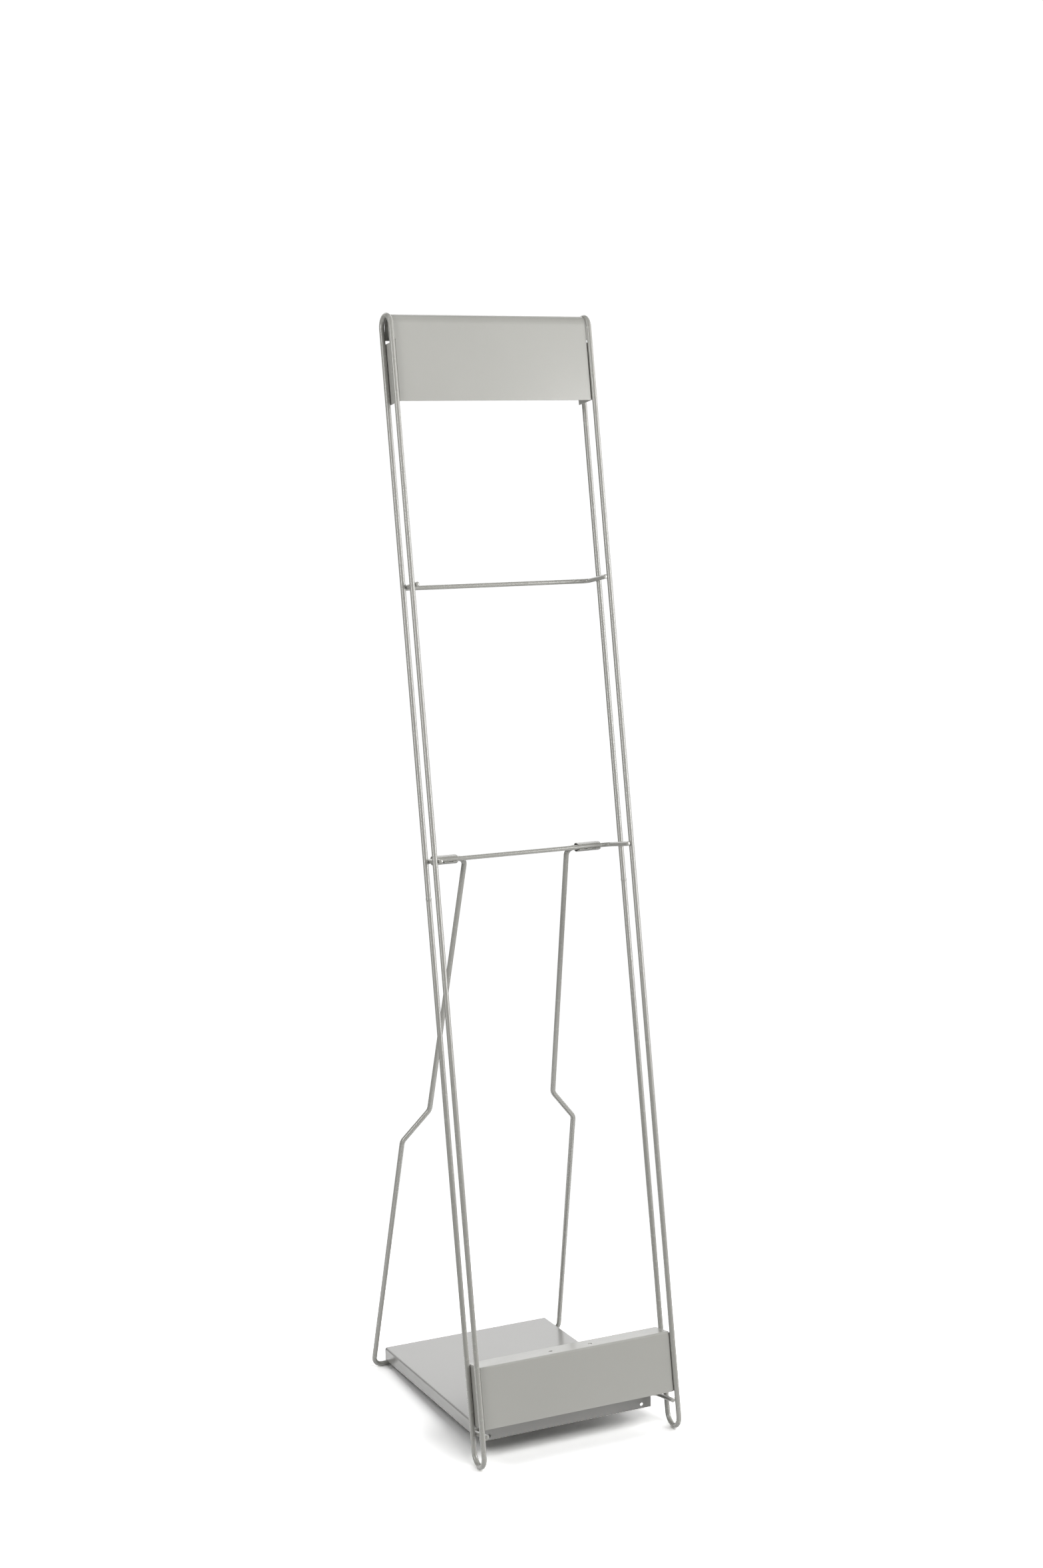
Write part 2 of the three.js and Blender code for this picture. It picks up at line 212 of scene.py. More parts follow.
def route(points, radii, segments):
    """A flat polyline with rounded corners, as points and unit tangents.

    segments is the number of steps in a quarter turn.
    """
    corners = [np.array(point, float) for point in points]
    places, tangents = [corners[0]], [unit(corners[1] - corners[0])]
    for before, corner, after, radius in zip(corners, corners[1:], corners[2:], radii):
        entry, leaving = unit(corner - before), unit(after - corner)
        cross = entry[0] * leaving[1] - entry[1] * leaving[0]
        turn = math.atan2(cross, float(entry @ leaving))
        start = corner - entry * radius * math.tan(abs(turn) / 2)
        sideways = np.array([-entry[1], entry[0]])
        centre = start + sideways * radius * (1 if turn > 0 else -1)
        count = max(3, int(round(segments * abs(turn) / (math.pi / 2))))
        for k in range(count + 1):
            cos, sin = math.cos(turn * k / count), math.sin(turn * k / count)
            spin = np.array([[cos, -sin], [sin, cos]])
            places.append(centre + spin @ (start - centre))
            tangents.append(spin @ entry)
    places.append(corners[-1])
    tangents.append(unit(corners[-1] - corners[-2]))
    return np.array(places), np.array(tangents)


def densify(places, tangents, step=30 * MM):
    """Adds stations along the straight runs and drops repeated points."""
    new_places, new_tangents = [places[0]], [tangents[0]]
    for i in range(1, len(places)):
        gap = np.linalg.norm(places[i] - places[i - 1])
        if gap < 1e-9:
            continue
        count = max(1, int(gap / step))
        for k in range(1, count + 1):
            share = k / count
            new_places.append(places[i - 1] * (1 - share) + places[i] * share)
            new_tangents.append(unit(tangents[i - 1] * (1 - share) + tangents[i] * share))
    return np.array(new_places), np.array(new_tangents)


def spaced(start, end, step):
    count = max(1, int(round(abs(end - start) / step)))
    return [start + (end - start) * k / count for k in range(count + 1)]


# the two axes of each drawing plane, then the axis square to it
PLANES = {"xy": (0, 1, 2), "xz": (0, 2, 1), "yz": (1, 2, 0)}


def lift(flat, plane):
    """Places flat vectors in space, on a drawing plane."""
    lifted = np.zeros((len(flat), 3))
    lifted[:, PLANES[plane][:2]] = flat
    return lifted


def normal_of(plane):
    return np.eye(3)[PLANES[plane][2]]


# ------------------------------------------------------------------ meshes and objects
def add_object(name, data):
    added = bpy.data.objects.new(name, data)
    scene.collection.objects.link(added)
    return added


def clean(mesh, merge):
    """Makes the faces point outwards, after merging equal points where asked."""
    edit = bmesh.new()
    edit.from_mesh(mesh)
    if merge:
        bmesh.ops.remove_doubles(edit, verts=edit.verts, dist=1e-7)
    bmesh.ops.recalc_face_normals(edit, faces=edit.faces)
    edit.to_mesh(mesh)
    edit.free()


def new_mesh(name, verts, faces, merge):
    mesh = bpy.data.meshes.new(name)
    mesh.from_pydata([tuple(vert) for vert in verts], [], faces)
    mesh.validate()
    clean(mesh, merge)
    return mesh


def shade_smooth(mesh):
    mesh.polygons.foreach_set("use_smooth", [True] * len(mesh.polygons))


def add_wire(name, verts, faces, matrix, body="frame", replaced=None):
    """An object in the wire's coat: a rod or a group of weld beads."""
    mesh = new_mesh(name, verts, faces, merge=False)
    mesh.transform(matrix)
    shade_smooth(mesh)
    mesh.set_sharp_from_angle(angle=math.radians(40))
    mesh.materials.append(WIRE)
    added = add_object(name, mesh)
    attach(added, body)
    if replaced:
        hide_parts(replaced)


def ring_at(centre, tangent, normal, radius, count):
    side = np.cross(tangent, normal)
    return [
        centre + normal * radius * math.cos(angle) + side * radius * math.sin(angle)
        for angle in np.arange(count) * 2 * math.pi / count
    ]


def band(first, second, count):
    """Quads between two rings, given the index of each ring's first point."""
    pairs = [(k, (k + 1) % count) for k in range(count)]
    return [(first + k, first + l, second + l, second + k) for k, l in pairs]


ROD_RING = 40
# the domed coat on a cut end: share of the radius, rise in mm
DOME = ((0.86, 0.12), (0.68, 0.24), (0.45, 0.34), (0.22, 0.40))
DOME_PEAK = 0.42                      # mm


def rod_mesh(points, corner_radii, radius, plane, ring=ROD_RING, chamfer=0.35 * MM):
    """A swept round rod with chamfered, domed ends."""
    path = densify(*route(points, corner_radii, segments=20))
    places, tangents = (lift(flat, plane) for flat in path)
    normal = normal_of(plane)
    radii = [radius - chamfer] + [radius] * len(places) + [radius - chamfer]
    head, tail = places[0], places[-1]
    head_in, tail_in = head + tangents[0] * chamfer, tail - tangents[-1] * chamfer
    places = [head, head_in, *places[1:-1], tail_in, tail]
    tangents = [tangents[0], *tangents, tangents[-1]]
    verts, faces = [], []
    for place, tangent, ring_radius in zip(places, tangents, radii):
        verts += ring_at(place, tangent, normal, ring_radius, ring)
    for i in range(len(places) - 1):
        faces += band(i * ring, (i + 1) * ring, ring)

    dome = min(1.0, radius / (3 * MM))        # thin rods have lower domes
    for end, outward in ((0, -1), (len(places) - 1, 1)):
        place, tangent = places[end], tangents[end]
        last = end * ring
        for share, rise in DOME:
            here = len(verts)
            centre = place + tangent * outward * rise * MM * dome
            verts += ring_at(centre, tangent, normal, radii[end] * share, ring)
            faces += band(last, here, ring)
            last = here
        peak = len(verts)
        verts.append(place + tangent * outward * DOME_PEAK * MM * dome)
        faces += [(last + k, last + (k + 1) % ring, peak) for k in range(ring)]
    return verts, faces


def add_bead(verts, faces, centre, half_mm, seed, lumps, rings, around):
    """Adds one weld bead: a lumpy flattened ball. half_mm is half its size in mm."""
    phase = np.random.default_rng(seed).uniform(0, 2 * math.pi, 6)
    half = np.array(half_mm) * MM
    centre = np.array(centre)
    base = len(verts)
    for i in range(1, rings):
        polar = math.pi * i / rings
        for k in range(around):
            turn = 2 * math.pi * k / around
            x = math.sin(polar) * math.cos(turn)
            y = math.sin(polar) * math.sin(turn)
            z = math.cos(polar)
            broad = math.sin(3 * x + phase[0]) * math.cos(2.5 * y + phase[1])
            fine = 0.6 * math.sin(5 * z + phase[2]) * math.sin(4 * y + phase[3])
            verts.append(centre + np.array([x, y, z]) * half * (1 + lumps * (broad + fine)))
    top = len(verts)
    bottom = top + 1
    pole = np.array([0, 0, half[2]])
    verts += [centre + pole, centre - pole]
    for i in range(rings - 2):
        faces += band(base + i * around, base + (i + 1) * around, around)
    last = base + (rings - 2) * around
    for k in range(around):
        l = (k + 1) % around
        faces += [(top, base + l, base + k), (bottom, last + k, last + l)]


# ------------------------------------------------------------------ sheets
class Net:
    """The quads of a sheet's mid plane. Equal corners are merged afterwards."""

    def __init__(self):
        self.verts, self.faces = [], []

    def add(self, lines):
        """Fills in between neighbouring lines of points."""
        for line, following in zip(lines, lines[1:]):
            for k in range(len(line) - 1):
                start = len(self.verts)
                self.verts += [line[k], line[k + 1], following[k + 1], following[k]]
                self.faces.append(tuple(range(start, start + 4)))


def lines_across(profile, xs):
    """One line in x for each (y, z) of a profile."""
    return [[(x, y, z) for x in xs] for y, z in profile]


def profiles_across(profile, xs):
    """One (y, z) profile for each x."""
    return [[(x, y, z) for y, z in profile] for x in xs]


def profiles_up(profile, heights):
    """One (x, y) profile for each height."""
    return [[(x, y, z) for x, y in profile] for z in heights]


def drill(radius, place, along_y=False):
    """A throwaway cylinder that cuts a hole, along z unless told otherwise."""
    edit = bmesh.new()
    bmesh.ops.create_cone(
        edit, cap_ends=True, segments=48, radius1=radius, radius2=radius, depth=8 * MM
    )
    mesh = bpy.data.meshes.new("cutter")
    edit.to_mesh(mesh)
    edit.free()
    matrix = Matrix.Translation(place)
    if along_y:
        matrix = matrix @ Matrix.Rotation(math.pi / 2, 4, "X")
    mesh.transform(matrix)
    return add_object("cutter", mesh)


def modify(owner, name, kind, **settings):
    modifier = owner.modifiers.new(name, kind)
    for key, value in settings.items():
        setattr(modifier, key, value)


def add_sheet(name, net, matrix, material, body, replaced,
              thickness=SHEET, bevel=0.28 * MM, cutters=()):
    """A bent sheet: its mid plane given thickness, holes and dulled edges."""
    added = add_object(name, new_mesh(name, net.verts, net.faces, merge=True))
    modify(
        added, "thick", "SOLIDIFY",
        thickness=thickness, offset=0.0, use_even_offset=True, use_quality_normals=True,
    )
    for cutter in cutters:
        modify(added, "hole", "BOOLEAN", operation="DIFFERENCE", solver="EXACT", object=cutter)
    modify(
        added, "edges", "BEVEL",
        width=bevel, segments=2, limit_method="ANGLE", angle_limit=math.radians(50),
        harden_normals=False, use_clamp_overlap=True,
    )
    depsgraph = bpy.context.evaluated_depsgraph_get()
    mesh = bpy.data.meshes.new_from_object(added.evaluated_get(depsgraph))
    added.modifiers.clear()
    added.data = mesh
    for cutter in cutters:
        cutter_mesh = cutter.data
        bpy.data.objects.remove(cutter)
        bpy.data.meshes.remove(cutter_mesh)
    mesh.name = name
    mesh.transform(matrix)
    clean(mesh, merge=True)
    shade_smooth(mesh)
    mesh.materials.clear()
    mesh.materials.append(material)
    modify(
        added, "normals", "WEIGHTED_NORMAL", mode="FACE_AREA", weight=100, keep_sharp=False
    )
    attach(added, body)
    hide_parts(replaced)


# ------------------------------------------------------------------ side loops
BUTT_Z = 752 * MM                     # height of the butt weld on the rear wire
# extra stations each side of the butt weld, in mm from it
BUTT_STATIONS = [0.5, 1.0, 1.5, 2.0, 2.6, 3.2, 3.8, 4.6, 6.0]


def butt_swell(away):
    """Scale of the radius beside the butt weld: a low bead with a slight neck next to it."""
    bead = 0.085 * math.exp(-((away / (1.5 * MM)) ** 2))
    neck = 0.02 * math.exp(-(((away - 3.2 * MM) / (0.9 * MM)) ** 2))
    return 1.0 + (bead - neck)


def side_loop(side, x):
    rear, top = LOOP_H, LOOP_L + LOOP_H
    butt = (rear, BUTT_Z)
    corners = [(rear, top), (-rear, top), (-rear, -rear), (rear, -rear)]
    places, tangents = route([butt, *corners, butt], [LOOP_H] * 4, segments=28)
    above = [(rear, BUTT_Z + away * MM) for away in BUTT_STATIONS]
    below = [(rear, BUTT_Z - away * MM) for away in reversed(BUTT_STATIONS)]
    straight = [tangents[0]] * (len(BUTT_STATIONS) + 1)
    places, tangents = densify(
        np.vstack([places[:1], above, places[1:-1], below, places[-1:]]),
        np.vstack([straight, tangents[1:-1], straight]),
    )
    steps = np.linalg.norm(np.diff(places, axis=0), axis=1)
    travelled = np.concatenate([[0], np.cumsum(steps)])

    verts, faces = [], []
    count = len(places) - 1           # the last station repeats the first
    centres, directions = lift(places, "yz"), lift(tangents, "yz")
    for i in range(count):
        away = min(travelled[i], travelled[-1] - travelled[i])
        radius = LOOP_R * butt_swell(away)
        verts += ring_at(centres[i], directions[i], normal_of("yz"), radius, ROD_RING)
        faces += band(i * ROD_RING, (i + 1) % count * ROD_RING, ROD_RING)
    matrix = TO_FRAME @ Matrix.Translation((x, 0, 0))
    add_wire("loop_rod_" + side, verts, faces, matrix, replaced="side_loop_" + side)


side_loop("left", -GAUGE / 2)
side_loop("right", GAUGE / 2)

# ------------------------------------------------------------------ crossbars
BAR_X = 142.95 * MM                   # centre line of the arms
BAR_BEND = 8 * MM
ARM_RISE = 2.2 * MM                   # of the lower bar's left arm, at its cut end
ARM_RISE_FROM = 28 * MM               # y where that arm starts to rise
ARM_INNER_X = -125 * MM               # the rest of the bar lies to the right of this


def arm_lift(level, x, y):
    """The lower bar's left arm points up a little towards its cut end."""
    if level != "lower" or x > ARM_INNER_X:
        return 0.0
    nose = BARS[level][1]
    return ARM_RISE * min(1.0, max(0.0, (ARM_RISE_FROM - y) / (ARM_RISE_FROM + nose)))


def crossbar(level):
    """A U open to the front, with beads where its arms touch the loops."""
    height, nose, seed = BARS[level]
    corners = [(-BAR_X, -nose), (-BAR_X, BAR_BACK), (BAR_X, BAR_BACK), (BAR_X, -nose)]
    verts, faces = rod_mesh(corners, [BAR_BEND, BAR_BEND], BAR_R, "xy")
    verts = [vert + np.array([0, 0, arm_lift(level, vert[0], vert[1])]) for vert in verts]
    place = TO_FRAME @ Matrix.Translation((0, 0, height))
    add_wire("bar_rod_" + level, verts, faces, place, replaced="crossbar_" + level)

    verts, faces = [], []
    for side in (-1, 1):
        contact = side * (BAR_X + BAR_R + 0.1 * MM)
        for y in (-LOOP_H, LOOP_H):
            seed += 1
            # a fillet above and below the bar
            for up in (-1, 1):
                seed += 1
                z = height + arm_lift(level, contact, y) + up * 2.6 * MM
                centre = (contact + side * 0.45 * MM, y, z)
                add_bead(verts, faces, centre, (0.9, 1.5, 1.2), seed,
                         lumps=0.07, rings=12, around=20)
    add_wire("weld_beads_" + level, verts, faces, TO_FRAME)


for level in BARS:
    crossbar(level)

# ------------------------------------------------------------------ panels
MID = 15.2 * MM - SHEET / 2           # the face's mid plane, in front of the loops' middle
BACK = 23.4 * MM                      # rear edge of the header's flanges
PANEL_BEND = 1.3 * MM                 # between face and side flanges
OPEN_HALF = 146.15 * MM               # half width where the flanges pass the rear wires
ROW = 20 * MM                         # spacing of the panels' rows of points

H_HALF = 146.0 * MM
H_BOTTOM, H_TOP = 1425.4 * MM, 1508 * MM
ROLL_HALF = 146.25 * MM
ROLL_Z = 1530.4 * MM                  # centre of the roll over the top
ROLL_NARROWING = 0.75 * MM            # each side, at the rear of the roll
LIP_BACK, LIP_Z = 2.6 * MM, 1513 * MM     # the lip's slant rearwards and its lower edge
SLIT = 1.1 * MM                       # between the side flanges and the roll

L_HALF = 146.05 * MM
L_BOTTOM, L_TOP = 35.0 * MM, 118.9 * MM
L_BACK = BACK - 1 * MM
LEDGE_BEND = 2.0 * MM
LEDGE_HALF = L_HALF - 0.4 * MM
LEDGE_GAP = 0.5 * MM                  # between the side flanges and the ledge
LEDGE_HOLE_X, LEDGE_HOLE_Y, LEDGE_HOLE_R = 30.5 * MM, 2 * MM, 3.0 * MM


def channel_profile(back, half):
    """The (x, y) profile of face and side flanges, and the half width of the flat face.

    The flanges spring open a little, until they rest against the rear wires.
    """
    side = half - SHEET / 2
    edge = side + (OPEN_HALF - half) * (back + MID) / (LOOP_H + MID)
    corners = [(-edge, back), (-side, -MID), (side, -MID), (edge, back)]
    profile, _ = route(corners, [PANEL_BEND, PANEL_BEND], segments=10)
    return profile, max(x for x, y in profile if abs(y + MID) < 1e-7)


def roll_reach(y, z):
    """Half width of the roll, which draws in from front to rear over the top."""
    if z < ROLL_Z:
        return ROLL_HALF
    return ROLL_HALF - ROLL_NARROWING * min(1.0, max(0.0, (y + MID) / (2 * MID)))


def header():
    net = Net()
    profile, flat = channel_profile(BACK, H_HALF)
    net.add(profiles_up(profile, spaced(H_BOTTOM, H_TOP, ROW)))
    # the face goes on alone past the slits, then widens into the roll and the lip behind
    roll_start = (-MID, H_TOP + SLIT)
    net.add(lines_across([(-MID, H_TOP), roll_start], [-flat, flat]))
    over, behind = ROLL_Z + MID, (MID + LIP_BACK, LIP_Z)
    roll, _ = route(
        [(-MID, H_TOP), (-MID, over), (MID, over), behind], [MID, MID * 0.98], segments=26
    )
    lines = []
    for y, z in [roll_start, *roll[1:]]:
        reach = roll_reach(y, z)
        lines.append([(x, y, z) for x in (-reach, -flat, flat, reach)])
    net.add(lines)
    add_sheet("header_sheet", net, TO_FRAME, PANEL, "frame", "header_panel")


def lower_panel():
    net = Net()
    profile, flat = channel_profile(L_BACK, L_HALF)
    ledge = L_TOP - SHEET / 2
    bend_z = ledge - LEDGE_BEND
    net.add(profiles_up(profile, spaced(L_BOTTOM, bend_z, ROW)))
    # the side flanges, less the last of their bends, go on further than the face
    kept = sum(x <= -flat + 1e-9 for x, y in profile) - 4
    for flange in (profile[:kept], profile[-kept:]):
        net.add(profiles_up(flange, [bend_z, L_TOP - SHEET - LEDGE_GAP]))
    # the ledge is as narrow as the face until well into its bend
    bend, _ = route([(-MID, bend_z), (-MID, ledge), (BACK, ledge)], [LEDGE_BEND], segments=10)
    widens = 7
    net.add(lines_across(bend[: widens + 1], [-flat, flat]))
    net.add(lines_across(bend[widens:], [-LEDGE_HALF, -flat, flat, LEDGE_HALF]))
    cutters = [
        drill(LEDGE_HOLE_R, (x, LEDGE_HOLE_Y, L_TOP)) for x in (-LEDGE_HOLE_X, LEDGE_HOLE_X)
    ]
    add_sheet("lower_sheet", net, TO_FRAME, PANEL, "frame", "lower_panel",
              cutters=cutters)


def panel_welds(name, flange_heights, run, seed):
    """Short beads that tie the flanges to the rear wires, and a run behind each front wire.

    Heights are in mm.
    """
    rows = (
        # x and y in mm, heights, half size of a bead in mm, its rings
        (146.9, 19.6, flange_heights, (1.05, 1.1, 4), 14),
        (147.4, -12.2, spaced(*run, step=5.5), (1.55, 1.5, 3.9), 12),
    )
    verts, faces = [], []
    for side in (-1, 1):
        for x, y, heights, half_mm, rings in rows:
            for z in heights:
                seed += 1
                centre = (side * x * MM, y * MM, z * MM)
                add_bead(verts, faces, centre, half_mm, seed,
                         lumps=0.08, rings=rings, around=16)
    add_wire(name, verts, faces, TO_FRAME)


header()
lower_panel()
panel_welds("weld_beads_header", (1498, 1467, 1434), run=(1430, 1503), seed=300)
panel_welds("weld_beads_lower_panel", (104, 76, 46), run=(39, 113), seed=400)

# ------------------------------------------------------------------ leg and its saddles
# right half of the leg from its cut end to the floor bar: x, z
LEG_HALF = [
    (SADDLE_OUT, 0),
    (78.65 * MM, 0),
    (98.8 * MM, -390.5 * MM),
    (137.4 * MM, -436.1 * MM),
    (153.7 * MM, -LEG_LEN),
]
LEG_BENDS = [10 * MM, 14 * MM, 14 * MM, 13 * MM]      # at all but the first of those points


def leg():
    points = [(-x, z) for x, z in LEG_HALF] + LEG_HALF[::-1]
    verts, faces = rod_mesh(points, LEG_BENDS + LEG_BENDS[::-1], LEG_R, "xz")
    add_wire("leg_rod", verts, faces, TO_LEG, body="leg", replaced="rear_leg")


SADDLE_R = 5.7 * MM                   # mid plane of the wrap
SADDLE_BEHIND = 7.0 * MM              # centre of the wrap, behind the middle bar's
# the wrap from its upper lip, round the back, to its lower lip: y, z
SADDLE_PROFILE = [
    (-7.7 * MM, 3.7 * MM),
    (-1.8 * MM, SADDLE_R),
    (SADDLE_R, SADDLE_R),
    (SADDLE_R, -SADDLE_R),
    (-1.8 * MM, -SADDLE_R),
    (-8.2 * MM, -4.1 * MM),
]
SADDLE_BENDS = [3 * MM, SADDLE_R * 0.98, SADDLE_R * 0.98, 3 * MM]
COLUMN = 6 * MM                       # spacing of points along saddles and straps


def saddle(side, start, end, seed):
    """A sheet wrapped round the leg's end and welded to the middle crossbar."""
    name = "saddle_" + side
    place = TO_FRAME @ Matrix.Translation((0, BAR_BACK + SADDLE_BEHIND, BARS["middle"][0]))
    profile, _ = route(SADDLE_PROFILE, SADDLE_BENDS, segments=14)
    net = Net()
    net.add(lines_across(profile, spaced(start, end, COLUMN)))
    add_sheet(name, net, place, WIRE, "frame", "hinge_clip_" + side,
              thickness=1.15 * MM, bevel=0.25 * MM)

    # three rows of four beads between the lower lip and the bar
    verts, faces = [], []
    rng = np.random.default_rng(seed)
    for share in (0.13, 0.5, 0.87):
        x = start + (end - start) * share
        for k in range(4):
            y = -8.7 * MM + rng.uniform(-0.15, 0.15) * MM
            centre = (x + (k - 1.5) * 1.7 * MM, y, -3.6 * MM)
            bead_seed = seed * 50 + k + int(share * 100)
            add_bead(verts, faces, centre, (1.35, 1.3, 1.05), bead_seed,
                     lumps=0.12, rings=8, around=14)
    # the coat has run into the corner between the upper lip and the bar
    inset, run_y, run_z = 0.6 * MM, -8.1 * MM, 3.3 * MM
    run_verts, run_faces = rod_mesh(
        [(start + inset, run_z), (end - inset, run_z)], [], 0.8 * MM, "xz",
        ring=20, chamfer=0.1 * MM,
    )
    base = len(verts)
    verts += [vert + np.array([0, run_y, 0]) for vert in run_verts]
    faces += [tuple(base + k for k in face) for face in run_faces]
    add_wire("weld_beads_" + name, verts, faces, place)


leg()
saddle("left", -SADDLE_OUT, -SADDLE_IN, seed=5)
saddle("right", SADDLE_IN, SADDLE_OUT, seed=6)

# ------------------------------------------------------------------ tray
T_HALF, T_TOP = 133.5 * MM, 4.6 * MM
T_FRONT, T_REAR = 6.1 * MM, 331.0 * MM    # edges in front of and behind the axle
T_BEND = 2.2 * MM
T_CELL = 30 * MM                      # spacing of the tray's points
SIDE_DEEP, FRONT_DEEP, REAR_DEEP = 18.2 * MM, 20.6 * MM, 20.0 * MM
T_RELIEF = 14 * MM                    # from the front to the start of the side flanges
T_HOLE_X, T_HOLE_UP, T_HOLE_R = 118.5 * MM, 5.7 * MM, 2.5 * MM


def tray_flange(edge, deep, outward):
    """Profile of a flange bent down at an edge: place across the edge, z."""
    top = T_TOP - SHEET / 2
    corners = [(edge - outward * T_BEND, top), (edge, top), (edge, T_TOP - deep)]
    # the bend starts at the first point, so that point is dropped
    return route(corners, [T_BEND], segments=10)[0][1:]


def tray():
    net = Net()
    side = T_HALF - SHEET / 2
    front, rear = -T_FRONT + SHEET / 2, T_REAR - SHEET / 2
    xs = spaced(-side + T_BEND, side - T_BEND, T_CELL)
    side_ys = spaced(-T_FRONT + T_RELIEF, rear - T_BEND, T_CELL)
    net.add(lines_across([(y, T_TOP - SHEET / 2) for y in [front + T_BEND] + side_ys], xs))
    for outward in (-1, 1):
        flange = tray_flange(outward * side, SIDE_DEEP, outward)
        net.add([[(x, y, z) for x, z in flange] for y in side_ys])
    # front and rear flanges, which reach further sideways below the bend
    for edge, deep, outward, reach in (
        (front, FRONT_DEEP, -1, T_HALF),
        (rear, REAR_DEEP, 1, T_HALF - 1.5 * MM),
    ):
        flange = tray_flange(edge, deep, outward)
        net.add(profiles_across(flange, xs))
        for ends in ((-reach, xs[0]), (xs[-1], reach)):
            net.add(profiles_across(flange[-2:], ends))
    hole_z = T_TOP - FRONT_DEEP + T_HOLE_UP
    cutters = [
        drill(T_HOLE_R, (x, -T_FRONT, hole_z), along_y=True) for x in (-T_HOLE_X, T_HOLE_X)
    ]
    add_sheet("tray_sheet", net, TO_TRAY, TRAY, "tray", "paper_tray",
              cutters=cutters)


STRAP_IN, STRAP_OUT = 84 * MM, 108 * MM
STRAP_R = BAR_R + 0.3 * MM + SHEET / 2    # mid plane of the wrap round the axle


def strap(side, start, end):
    """A sheet wrapped under the axle, with a tongue rearwards beneath the tray's top."""
    radius = STRAP_R
    top = T_TOP - SHEET - 0.3 * MM
    tongue = top - 0.6 * MM
    corners = [
        (-radius, top - 1.4 * MM),
        (-radius, -radius),
        (radius, -radius),
        (radius, tongue),
        (15 * MM, tongue),
    ]
    profile, _ = route(corners, [radius * 0.985, radius * 0.985, 0.7 * MM], segments=12)
    net = Net()
    net.add(lines_across(profile, spaced(start, end, COLUMN)))
    add_sheet("strap_" + side, net, TO_TRAY, TRAY, "tray",
              "tray_strap_" + side, bevel=0.2 * MM)


tray()
strap("left", -STRAP_OUT, -STRAP_IN)
strap("right", STRAP_IN, STRAP_OUT)

# ------------------------------------------------------------------ floor
FLOOR_HALF, FLOOR_Z = 30.0, -0.0004
FLOOR_TONE = (0.8, 2.6)               # as it lights the object, as it is seen
FLOOR_FADE = (0.45, 0.95)             # distances over which it fades to plain white


def floor_material():
    """Grey near the foot, fading to plain white for the camera."""
    material = bpy.data.materials.new("studio_floor")
    tree = empty_tree(material)
    rays = node(tree, "LightPath").outputs
    position = node(tree, "NewGeometry").outputs["Position"]
    distance = node(tree, "VectorMath", {0: position}, operation="LENGTH").outputs["Value"]
    fade = ramp(tree, distance, FLOOR_FADE, shape="SMOOTHSTEP")
    fade_rays = node(tree, "LightPath").outputs
    whiteness = calc(tree, "MULTIPLY", fade, fade_rays["Is Camera Ray"])
    # the coat mirrors the floor near the foot as bright as the camera sees it
    near = calc(tree, "SUBTRACT", 1.0, fade)
    mirrored = calc(tree, "MULTIPLY", near, rays["Is Glossy Ray"])
    seen = calc(tree, "MAXIMUM", mirrored, rays["Is Camera Ray"])
    tone = ramp(tree, seen, (0.0, 1.0), FLOOR_TONE)
    grey = node(tree, "CombineXYZ", {"X": tone, "Y": tone, "Z": tone}).outputs[0]
    diffuse = node(tree, "BsdfDiffuse", {"Color": grey})
    white = node(tree, "Emission", {"Strength": 1.04})
    blend = node(
        tree, "MixShader", {0: whiteness, 1: diffuse.outputs[0], 2: white.outputs[0]}
    )
    node(tree, "OutputMaterial", {0: blend.outputs[0]})
    return material


def floor():
    material = floor_material()
    mesh = bpy.data.meshes.new("floor")
    corners = [(-1, -1), (1, -1), (1, 1), (-1, 1)]
    verts = [(x * FLOOR_HALF, y * FLOOR_HALF, FLOOR_Z) for x, y in corners]
    mesh.from_pydata(verts, [], [(0, 1, 2, 3)])
    mesh.materials.append(material)
    add_object("floor", mesh)


floor()

# ------------------------------------------------------------------ world
# A white backdrop wraps round the back and the right, and the room is dark elsewhere.
SKY = {"top": 0.0, "arc": 1.7, "rest": 0.0}       # strength of each part
ARC = (0.8, 0.6)                      # x, y direction of the backdrop's middle
SEEN_SKY = 1.31                       # strength of the plain sky the camera sees


def studio_world():
    world = bpy.data.worlds.new("studio")
    scene.world = world
    tree = empty_tree(world)
    coords = node(tree, "TexCoord").outputs["Generated"]
    axes = node(tree, "SeparateXYZ", {0: coords}).outputs
    x, y = axes["X"], axes["Y"]
    top = ramp(tree, axes["Z"], (0.5, 0.85), shape="SMOOTHSTEP")
    low = calc(tree, "SUBTRACT", 1.0, top)
    squares = [calc(tree, "MULTIPLY", axis, axis) for axis in (x, y)]
    level_length = calc(tree, "SQRT", calc(tree, "ADD", *squares))
    shares = [calc(tree, "MULTIPLY", axis, share) for axis, share in zip((x, y), ARC)]
    facing = calc(tree, "DIVIDE", calc(tree, "ADD", *shares), level_length)
    arc = ramp(tree, facing, (0.15, 0.45), shape="SMOOTHSTEP")
    rest = calc(tree, "SUBTRACT", 1.0, arc)
    sky = calc(tree, "MULTIPLY", top, SKY["top"])
    for part, strength in ((arc, SKY["arc"]), (rest, SKY["rest"])):
        low_part = calc(tree, "MULTIPLY", low, part)
        sky = calc(tree, "ADD", sky, calc(tree, "MULTIPLY", low_part, strength))
    lighting = node(tree, "Background", {"Strength": sky})
    seen = node(tree, "Background", {"Strength": SEEN_SKY})
    camera_ray = node(tree, "LightPath").outputs["Is Camera Ray"]
    mix = node(tree, "MixShader", {0: camera_ray, 1: lighting.outputs[0], 2: seen.outputs[0]})
    node(tree, "OutputWorld", {0: mix.outputs[0]})


studio_world()

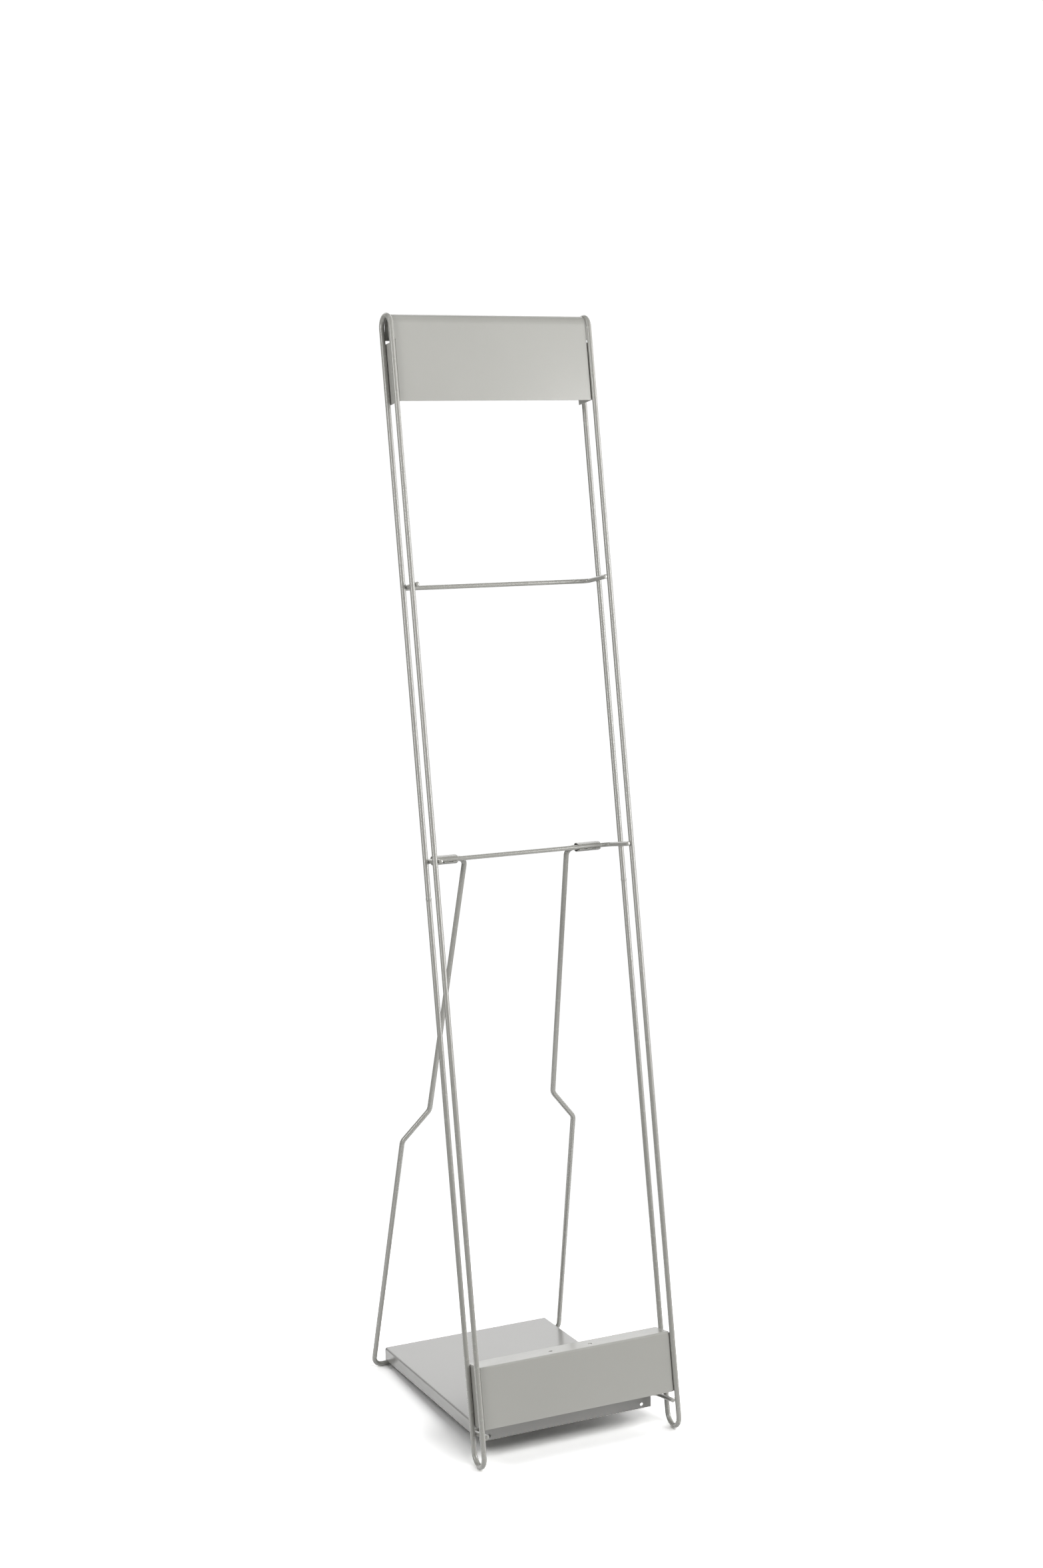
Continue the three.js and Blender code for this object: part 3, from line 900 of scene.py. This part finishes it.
# ------------------------------------------------------------------ lamps
# lit names what a lamp lights, and mirrored says whether the coat shows its reflection.
# Lamps that would wash out the contact shadow light the object alone. The right one has an
# unmirrored twin for the level sheets, where it would burn out as a white patch from behind.
RIGHT = dict(place=(2.0, -2.1, 1.5), aim=(0, 0, 1.35), size=(1.4, 1.8), power=66)
LAMPS = {
    "right": dict(RIGHT, lit="rods and header", mirrored=True),
    "right_low": dict(RIGHT, lit="tray and lower panel", mirrored=False),
    "left": dict(place=(-2.7, -0.9, 1.5), aim=(0, 0, 1.35), size=(0.7, 1.8), power=39,
                 lit="object", mirrored=True),
    "over": dict(place=(-0.3, 0.3, 3.2), aim=(0, 0, 0.2), size=(2.2, 1.8), power=6,
                 lit="all", mirrored=True),
    "front_high": dict(place=(0.5, -2.6, 3.3), aim=(0, 0, 0.6), size=(2.2, 1.2), power=41,
                       lit="all", mirrored=False),
    "left_high": dict(place=(-2.2, 0.3, 2.7), aim=(0, 0, 0.2), size=(1.6, 1.2), power=12,
                      lit="all", mirrored=True),
}
LOW = (
    "tray_sheet", "lower_sheet", "strap_left", "strap_right",
    "paper_tray", "lower_panel", "tray_strap_left", "tray_strap_right",
)
RECEIVERS = {
    name: bpy.data.collections.new(name)
    for name in ("object", "rods and header", "tray and lower panel")
}
for piece in list(scene.objects):
    if piece.type == "MESH" and piece.name != "floor":
        RECEIVERS["object"].objects.link(piece)
        part = "tray and lower panel" if piece.name in LOW else "rods and header"
        RECEIVERS[part].objects.link(piece)


def add_lamp(name, place, aim, size, power, lit, mirrored):
    light = bpy.data.lights.new(name, "AREA")
    light.shape = "RECTANGLE"
    light.size, light.size_y = size
    light.energy = power
    lamp = add_object(name, light)
    lamp.location = place
    lamp.rotation_mode = "QUATERNION"
    lamp.rotation_quaternion = (Vector(aim) - Vector(place)).to_track_quat("-Z", "Y")
    lamp.visible_camera = False
    lamp.visible_glossy = mirrored
    if lit != "all":
        lamp.light_linking.receiver_collection = RECEIVERS[lit]


for lamp_name, settings in LAMPS.items():
    add_lamp(lamp_name, **settings)

# ------------------------------------------------------------------ camera
CAMERA_PLACE = (-1.416394, FRAME_Y - 2.740217, 1.476424)
YAW, PITCH, ROLL = 0.4507, 0.1760, 0.0038         # to the right, down, about the view


def add_camera():
    lens = bpy.data.cameras.new("camera")
    camera = add_object("camera", lens)
    level = math.cos(PITCH)
    forward = Vector((math.sin(YAW) * level, math.cos(YAW) * level, -math.sin(PITCH)))
    right = Vector((math.cos(YAW), -math.sin(YAW), 0))
    up = right.cross(forward)
    rolled_right = right * math.cos(ROLL) + up * math.sin(ROLL)
    rolled_up = up * math.cos(ROLL) - right * math.sin(ROLL)
    turn = Matrix((rolled_right, rolled_up, -forward)).transposed().to_4x4()
    camera.matrix_world = Matrix.Translation(CAMERA_PLACE) @ turn
    lens.sensor_width = 36.0
    lens.sensor_fit = "AUTO"
    lens.lens = 54.883581
    lens.clip_start, lens.clip_end = 0.05, 200
    scene.camera = camera


add_camera()
scene.view_settings.view_transform = "Standard"
scene.view_settings.look = "None"
# thin rods come out smoother when the denoiser's guide passes are left as they are
scene.cycles.denoising_prefilter = "NONE"
